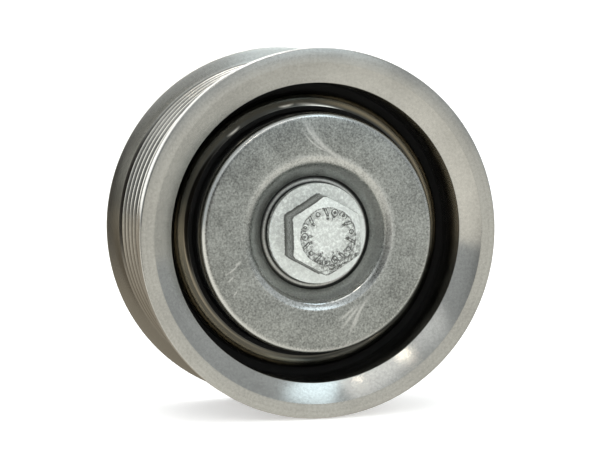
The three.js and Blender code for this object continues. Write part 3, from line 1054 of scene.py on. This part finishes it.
grime_and_shade = bolt.data.attributes.new("grime_and_shade", "FLOAT", "POINT")
for index, vertex in enumerate(bolt.data.vertices):
    grime_and_shade.data[index].value = grime_and_shade_at(vertex.co)
# Points above a half carry solid dirt and painted shade.
print("dirty points on the bolt:", sum(1 for entry in grime_and_shade.data if entry.value > 0.5))
stands_for(bolt, "flange_bolt", "core", bolt_zinc)

# %% [markdown]
# ## Spacer, sleeve and rear shield
# Behind the cover disc a plain spacer ring presses on the bearing's inner ring. The sleeve runs
# through the bearing and ends in a collar that stands the pulley off its bracket. The rear
# shield is a thin pressing on the collar, with a stiffening bead. All are turned outlines, each
# with the small roundings that its making leaves.

# %% Make the spacer and the sleeve
spacer_front, spacer_rear = depths("front_spacer_ring")
spacer_radius = outer_radius("front_spacer_ring")
spacer_bore = 5.6
spacer = turned("front_spacer_fine", rounded([
    (spacer_bore, spacer_front, 0.2), (spacer_radius, spacer_front, 0.3),
    (spacer_radius, spacer_rear, 0.3), (spacer_bore, spacer_rear, 0.2)]), 160)
stands_for(spacer, "front_spacer_ring", "core", spacer_steel)

sleeve_front, bracket_depth = depths("mounting_sleeve")
collar_front, collar_radius = bearing_rear + 0.1, outer_radius("mounting_sleeve")
sleeve_bore, sleeve_radius = 5.4, 8.4
scribed_ring = 10.45
sleeve = turned("mounting_sleeve_fine", rounded([
    (sleeve_bore, sleeve_front, 0.25), (sleeve_radius, sleeve_front, 0.3),
    (sleeve_radius, collar_front, 0.1), (collar_radius, collar_front, 0.3),
    (collar_radius, bracket_depth, 0.6), (scribed_ring + 0.15, bracket_depth, 0.08),
    (scribed_ring, bracket_depth - 0.15, 0.08), (scribed_ring - 0.15, bracket_depth, 0.08),
    (sleeve_bore, bracket_depth, 0.5)]), 200)
stands_for(sleeve, "mounting_sleeve", "core", spacer_steel)

# %% [markdown]
# The shield's bead is a low ridge pressed forwards, so the outline steps towards the front by
# the bead's height on both faces of the sheet.

# %% Make the rear shield
shield_front, shield_rear = depths("rear_dust_shield")
shield_radius = outer_radius("rear_dust_shield")
shield_bore = 12.6
plate_front = 33.2
bead = 0.4
shield = turned("rear_dust_shield_fine", rounded([
    (shield_bore, shield_front, 0.2), (13.8, shield_front, 0.3), (13.8, plate_front, 0.4),
    (16.0, plate_front, 0.4), (16.6, plate_front - bead, 0.5), (19.4, plate_front - bead, 0.5),
    (20.0, plate_front, 0.4), (shield_radius, plate_front, 0.3),
    (shield_radius, shield_rear, 0.3), (19.8, shield_rear, 0.4),
    (19.2, shield_rear - bead, 0.5), (16.8, shield_rear - bead, 0.5),
    (16.2, shield_rear, 0.4), (shield_bore, shield_rear, 0.3)]), 200)
stands_for(shield, "rear_dust_shield", "core", shield_zinc)

# %% [markdown]
# ## The ball bearing
# Two rows of balls run in ground grooves between an inner and an outer ring. The grooves are a
# little wider than the balls. In the outline each groove is an arc about the ball's centre, so a
# helper adds it between two corners.

# %% Rings with ball grooves
ball_low, ball_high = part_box("front_ball_1")
ball_radius = (ball_high.y - ball_low.y) / 2 / MM
ball_centre = (ball_low + ball_high) / 2
ball_pitch = Vector((ball_centre.x, ball_centre.z)).length / MM
front_row = depth_of(ball_centre.y)
rear_row = bearing_front + bearing_rear - front_row
race_radius = ball_radius + 0.12
inner_shoulder = 14.0
outer_shoulder = 18.5
bearing_bore = 8.5
RACE_STEPS = 16


def race(row, shoulder, towards_axis):
    """A ball groove, as points from the front of the row to its rear."""
    half = math.acos(abs(shoulder - ball_pitch) / race_radius)
    side = -1 if towards_axis else 1
    angles = [half - 2 * half * step / RACE_STEPS for step in range(RACE_STEPS + 1)]
    return [Vector((ball_pitch + side * race_radius * math.cos(a), row - race_radius * math.sin(a)))
            for a in angles]


def ring_outline(back_radius, shoulder, towards_axis):
    """Outline of a bearing ring, grooved on one side."""
    front = rounded([(back_radius, bearing_rear, 0), (back_radius, bearing_front, 0.6),
                     (shoulder, bearing_front, 0.25), (shoulder, front_row, 0)], False)[1:-1]
    rear = rounded([(shoulder, rear_row, 0), (shoulder, bearing_rear, 0.25),
                    (back_radius, bearing_rear, 0.6), (back_radius, bearing_front, 0)], False)[1:-1]
    return (front + race(front_row, shoulder, towards_axis)
            + race(rear_row, shoulder, towards_axis) + rear)


inner_ring = turned("bearing_inner_ring_fine",
                    ring_outline(bearing_bore, inner_shoulder, True), 160)
stands_for(inner_ring, "bearing_inner_ring", "core", bearing_steel)
outer_ring = turned("bearing_outer_ring_fine",
                    ring_outline(bearing_radius, outer_shoulder, False), 160)
stands_for(outer_ring, "bearing_outer_ring", "pulley", bearing_steel)

# %% [markdown]
# ## Rubber seals
# Each side of the bearing is closed by a rubber seal that turns with the outer ring. Its inner
# edge thins to a lip that faces the inner ring. Moulded rubber is dark and matt with a faint
# sheen, and its skin has the fine grain of the mould.

# %% Material and shape of the seals
def moulded(name, color, roughness, grain, grain_depth, **values):
    """Moulded rubber or nylon with the grain of the mould. grain_depth is in mm."""
    material, tree, shader = new_material(name, color, roughness, 0.0, **values)
    point = position(tree)
    skin = noise(tree, point, grain, 3.0, 0.6)
    clouds = noise(tree, point, 160.0, 2.0)
    tree.links.new(mix_color(tree, clouds, scaled(color, 0.8), color), shader.inputs["Base Color"])
    tree.links.new(remap(tree, skin, 0.3, 0.7, roughness - 0.06, roughness + 0.06),
                   shader.inputs["Roughness"])
    bump(tree, shader, skin, 0.4, grain_depth * MM)
    return material


seal_rubber = moulded("seal_rubber", (0.022, 0.022, 0.023), 0.6, 1400.0, 0.015)
cage_nylon = moulded("cage_nylon", (0.62, 0.53, 0.36), 0.45, 900.0, 0.01,
                     Subsurface_Weight=0.1, Subsurface_Scale=0.002)


seal_lip, seal_radius = 14.35, 18.2


def seal_outline(face, back, inward):
    """A seal with a thin inner lip and a rib. inward is +1 if the bearing lies at greater depth."""
    low = face + 0.25 * inward
    return rounded([
        (seal_lip, face + 0.55 * inward, 0.1), (15.3, low, 0.2), (15.9, face, 0.2),
        (16.6, face, 0.2), (16.9, low, 0.15), (17.5, low, 0.15), (17.8, face, 0.15),
        (seal_radius, face, 0.15), (seal_radius, back, 0.15), (15.6, back, 0.3),
        (seal_lip, back - 0.1 * inward, 0.1)])


front_seal_face, front_seal_back = depths("front_seal")
rear_seal_back, rear_seal_face = depths("rear_seal")
for node, outline in (("front_seal", seal_outline(front_seal_face, front_seal_back, 1)),
                      ("rear_seal", seal_outline(rear_seal_face, rear_seal_back, -1))):
    seal = turned(node + "_fine", outline, 160)
    stands_for(seal, node, "pulley", seal_rubber)

# %% [markdown]
# ## Balls
# A bearing ball is lapped until it mirrors. Sixteen of them sit here, eight to a row. One half
# circle is turned for each, about an axis through the ball's own centre, and the ball's place is
# the middle of its node's box.

# %% Material and shape of the balls
BALLS_IN_ROW = 8
BALL_ARC_STEPS = 20

ball_steel, ball_tree, ball_shader = new_material(
    "ball_lapped_steel", (0.75, 0.76, 0.77), 0.07, 1.0)
ball_wear = noise(ball_tree, position(ball_tree), 700.0, 4.0, 0.6)
ball_tree.links.new(remap(ball_tree, ball_wear, 0.4, 0.7, 0.05, 0.14),
                    ball_shader.inputs["Roughness"])
bump(ball_tree, ball_shader, ball_wear, 0.1, 0.001 * MM)


def ball_mesh():
    """A ball about its own centre, turned from a half circle."""
    size = ball_radius * MM
    arc = [math.pi * step / BALL_ARC_STEPS for step in range(BALL_ARC_STEPS + 1)]
    places = [(math.sin(a) * size, math.cos(a) * size, 0) for a in arc]
    return mesh_from(spun(places, (0, 1, 0), 2 * BALL_ARC_STEPS), "bearing_ball")


for row in ("front", "rear"):
    for number in range(1, BALLS_IN_ROW + 1):
        node = f"{row}_ball_{number}"
        low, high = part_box(node)
        ball = shown(node + "_fine", ball_mesh())
        ball.location = (low + high) / 2
        stands_for(ball, node, node + "_body", ball_steel)

# %% [markdown]
# ## Ball cages
# A moulded nylon ring keeps the balls of a row apart. Its pockets are round and open to one
# side, so it snaps over the balls. This is a good case for booleans: the ring is turned, then a
# ball a little larger than the real one is cut out at each ball's place. The ring's own corners
# are rounded as a mould would leave them, and the pockets' edges stay crisp.

# %% Make the cages
pocket_gap = 0.25
cage_inner, cage_outer = 15.05, 17.45


def pocket_cutter(row):
    """One mesh with a ball, a little too large, at each ball's place in the row."""
    bm = bmesh.new()
    for number in range(1, BALLS_IN_ROW + 1):
        low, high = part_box(f"{row}_ball_{number}")
        bmesh.ops.create_icosphere(bm, subdivisions=4, radius=(ball_radius + pocket_gap) * MM,
                                   matrix=Matrix.Translation((low + high) / 2))
    return linked("pocket_cutter", mesh_from(bm, "pocket_cutter", outward=False))


def cut_pockets(cage, row):
    """Cut a round pocket at each ball of the row."""
    cutter = pocket_cutter(row)
    boolean = cage.modifiers.new("pockets", "BOOLEAN")
    boolean.object, boolean.operation, boolean.solver = cutter, "DIFFERENCE", "EXACT"
    evaluated = cage.evaluated_get(bpy.context.evaluated_depsgraph_get())
    carved = bpy.data.meshes.new_from_object(evaluated)
    cage.modifiers.clear()
    cage.data = carved
    cutter_mesh = cutter.data
    bpy.data.objects.remove(cutter)
    bpy.data.meshes.remove(cutter_mesh)
    carved.set_sharp_from_angle(angle=math.radians(40))


for row in ("front", "rear"):
    node = f"{row}_cage"
    front, rear = depths(node)
    cage = turned(node + "_fine", rounded([
        (cage_inner, front, 0.3), (cage_outer, front, 0.3),
        (cage_outer, rear, 0.3), (cage_inner, rear, 0.3)]), 128)
    cut_pockets(cage, row)
    stands_for(cage, node, f"{row}_cage_body", cage_nylon)

# %% [markdown]
# ## The snap ring
# A flat spring-steel ring with a gap and two drilled ears sits in a groove behind the bearing.
# It is stamped, so a flat curve with holes is the natural start: Blender fills it, gives it
# thickness and rounds its edges, and the result is turned into a plain mesh.

# %% Draw the snap ring
snap_front, snap_rear = depths("retaining_ring")
clip_steel = coating("phosphated_spring_steel", (0.09, 0.09, 0.095), 0.42, 1.0, 1200.0, 0.004)
snap_radius, snap_inner = 24.5, 21.8
ear_inner, ear_hole, ear_hole_ring = 19.5, 0.9, 20.95
gap, ear = 0.14, 0.2
full = 2 * math.pi


def arc_points(radius, start, end, steps):
    """Points on a circle from one angle to another."""
    angles = [start + (end - start) * step / steps for step in range(steps + 1)]
    return [(radius * math.cos(a), radius * math.sin(a)) for a in angles]


def snap_ring_outlines():
    """The stamped shape and its two holes, in millimetres, with the gap towards +X."""
    outline = (arc_points(snap_radius, gap, full - gap, 180)
               + arc_points(ear_inner, full - gap, full - gap - ear, 10)
               + arc_points(snap_inner, full - gap - ear, gap + ear, 160)
               + arc_points(ear_inner, gap + ear, gap, 10))
    holes = []
    for side in (-1, 1):
        angle = side * (gap + ear / 2)
        centre = Vector((math.cos(angle), math.sin(angle))) * ear_hole_ring
        circle = arc_points(ear_hole, 0, full * 23 / 24, 23)
        holes.append([tuple(centre + Vector(place)) for place in circle])
    return [outline] + holes


# %% [markdown]
# The rounding of the edges adds to a curve's size, so the curve is first drawn in by as much.
# A curve lies flat in X and Y, so the mesh made from it is stood up and moved to its depth.

# %% Make the snap ring
edge_round = 0.12
curve = bpy.data.curves.new("snap_ring_curve", "CURVE")
curve.dimensions, curve.fill_mode = "2D", "BOTH"
curve.extrude = ((snap_rear - snap_front) / 2 - edge_round) * MM
curve.bevel_depth, curve.bevel_resolution = edge_round * MM, 2
curve.offset = -edge_round * MM
for points in snap_ring_outlines():
    spline = curve.splines.new("POLY")
    spline.points.add(len(points) - 1)
    for target, (x, z) in zip(spline.points, points):
        target.co = (x * MM, z * MM, 0, 1)
    spline.use_cyclic_u = True
stamp = linked("snap_ring_stamp", curve)
evaluated_stamp = stamp.evaluated_get(bpy.context.evaluated_depsgraph_get())
ring_mesh = bpy.data.meshes.new_from_object(evaluated_stamp)
bpy.data.objects.remove(stamp)
bm = bmesh.new()
bm.from_mesh(ring_mesh)
bmesh.ops.remove_doubles(bm, verts=bm.verts, dist=1e-6)
middle = front_face_y + (snap_front + snap_rear) / 2 * MM
bm.transform(Matrix.Translation((0, middle, 0)) @ Matrix.Rotation(math.pi / 2, 4, "X"))
snap_ring = shown("retaining_ring_fine", mesh_from(bm, "snap_ring"), crease_degrees=30)
stands_for(snap_ring, "retaining_ring", "pulley", clip_steel)

# %% [markdown]
# ## The studio
# The pulley stands on its rim on a pale floor that curves up into a pale wall all round, so no
# corner or horizon shows from any side. The metal should mirror a painted room, not this white
# one, so the white room is hidden from mirror-like rays and the world takes its place in them.
# All the sizes from here on are in metres.

# %% Floor and wall in one sweep
floor_z = rim_low.z - 0.0002
room_radius, wall_height, sweep = 3.0, 3.0, 1.0


def room_outline():
    """Half a section of the room: along the floor, up the sweep, and up the wall."""
    bends = [math.radians(9 * step) for step in range(11)]
    curve_points = [(room_radius - sweep + sweep * math.sin(bend), 0,
                     floor_z + sweep - sweep * math.cos(bend)) for bend in bends]
    return [(0, 0, floor_z)] + curve_points + [(room_radius, 0, wall_height)]


room_bm = spun(room_outline(), (0, 0, 1), 96, merge_distance=1e-6)
room = shown("studio_room", mesh_from(room_bm, "studio_room", outward=False), crease_degrees=60)
pale, _, pale_shader = new_material("pale_studio", (0.9, 0.9, 0.9), 0.9, 0.0)
pale_shader.inputs["Emission Color"].default_value = (1, 1, 1, 1)
pale_shader.inputs["Emission Strength"].default_value = 0.42
room.data.materials.append(pale)
room.visible_glossy = False
room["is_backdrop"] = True
print("studio room:", len(room.data.polygons), "faces")

# %% [markdown]
# Light on metal is about what the metal sees. The world is painted by direction: a pale warm
# table below, brightest on the left and darker behind, a dimmer room above, and a bright wall
# behind. One dark patch stands where the viewer is, and it gives the grooves and the hub their
# black lines. A single even grey would light the pulley just as well and make it look like
# plastic.

# %% Paint the surroundings
world = bpy.data.worlds.new("table_and_room")
bpy.context.scene.world = world
world.use_nodes = True
sky_tree = world.node_tree
direction = add(sky_tree, "ShaderNodeTexCoord").outputs["Generated"]
toward = add(sky_tree, "ShaderNodeSeparateXYZ", {0: direction}).outputs
table = mix_color(sky_tree, remap(sky_tree, toward["X"], -0.6, 1.0, 0.0, 1.0),
                  (0.83, 0.81, 0.735), (0.50, 0.50, 0.46))
behind = remap(sky_tree, toward["Y"], 0.1, 0.7, 0.0, 1.0)
table = mix_color(sky_tree, behind, table, (0.34, 0.30, 0.24))
walls = mix_color(sky_tree, behind, (0.40, 0.42, 0.42), (1.5, 1.5, 1.45))
around = mix_color(sky_tree, remap(sky_tree, toward["Z"], -0.02, 0.01, 0.0, 1.0), table, walls)
from_viewer = distance_to(sky_tree, direction, (-0.27, -0.96, 0.04))
viewer = remap(sky_tree, from_viewer, 0.24, 0.34, 1.0, 0.0)
around = mix_color(sky_tree, viewer, around, (0.035, 0.032, 0.028))
sky_tree.links.new(around, sky_tree.nodes["Background"].inputs["Color"])
print("surroundings painted from", len(sky_tree.nodes), "nodes")

# %% [markdown]
# Seven lights take the place of windows and lamps. High in front hang a cool window, a neutral
# panel beside it, a dim panel to the left and two small warm lamps. A small cool window stands
# lower, at the front right, and a broad lamp hangs straight overhead. On a turned cone each
# becomes a bright wedge, and the gaps between them are what make the bevel read as polished
# metal. Their strength is set by how bright their faces should look in the mirror of the steel,
# so it follows from their size.

# %% Lights
LIGHT_DISTANCE = 1.2


def panel(name, toward_light, width, height, color, brightness):
    """A rectangular light facing the pulley, whose face has the given brightness."""
    light = bpy.data.lights.new(name, "AREA")
    light.shape, light.size, light.size_y = "RECTANGLE", width, height
    light.color, light.energy = color, brightness * math.pi * width * height
    lamp = linked(name, light)
    away = Vector(toward_light).normalized()
    lamp.location = away * LIGHT_DISTANCE
    lamp.rotation_euler = away.to_track_quat("Z", "Y").to_euler()
    print(f"{name}: {light.energy:.2f} W")


panel("cool_window", (0.30, -0.54, 0.785), 0.33, 0.5, (0.75, 0.92, 1.0), 1.3)
panel("soft_panel", (-0.05, -0.625, 0.78), 0.5, 0.5, (1.0, 0.99, 0.96), 0.62)
panel("low_window", (0.28, -0.93, 0.24), 0.22, 0.26, (0.8, 0.93, 1.0), 0.8)
panel("side_panel", (-0.45, -0.70, 0.55), 0.4, 0.4, (1.0, 1.0, 0.98), 0.35)
panel("ceiling_lamp", (-0.1, 0.1, 0.99), 0.6, 0.4, (1.0, 1.0, 1.0), 4.0)
panel("warm_lamp_left", (-0.265, -0.675, 0.685), 0.05, 0.16, (1.0, 0.9, 0.76), 6.0)
panel("warm_lamp_middle", (0.04, -0.60, 0.80), 0.03, 0.03, (1.0, 0.88, 0.72), 12.0)

# %% [markdown]
# ## The camera
# The view is from the left and a little above, through a long lens, so that the front face is
# nearly a circle and a sliver of the grooves shows beside it. The camera is placed from the
# pulley's front centre: back along the view, then a little sideways and up to frame it. These
# three lengths are in radii of the pulley.

# %% Place the camera
view_azimuth, view_elevation = math.radians(-16.7), math.radians(4.8)
distance_in_radii = 12.0
shift_right, shift_up = -0.1155, 0.051

back = Vector((math.sin(view_azimuth) * math.cos(view_elevation),
               -math.cos(view_azimuth) * math.cos(view_elevation), math.sin(view_elevation)))
right = Vector((math.cos(view_azimuth), math.sin(view_azimuth), 0))
up = back.cross(right)
camera = linked("camera", bpy.data.cameras.new("camera"))
camera.data.lens, camera.data.sensor_width = 134.0, 36.0
camera.data.clip_start, camera.data.clip_end = 0.01, 20.0
aim = distance_in_radii * back + shift_right * right + shift_up * up
camera.location = Vector((0, front_face_y, 0)) + rim_high.x * aim
camera.rotation_mode = "QUATERNION"
camera.rotation_quaternion = Matrix((right, up, back)).transposed().to_quaternion()
bpy.context.scene.camera = camera
bpy.context.scene.view_settings.view_transform = "Standard"
print("camera at", [round(value, 3) for value in camera.location])

# %% [markdown]
# The fine pieces must fill the same box as the mechanical model. The box of the fine pieces is
# printed, in millimetres.

# %% Write the sizes and finish
visual_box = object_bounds()
visual_sides = visual_box[1] - visual_box[0]
print("visual model's box in mm:", [round(1000 * side, 1) for side in visual_sides])
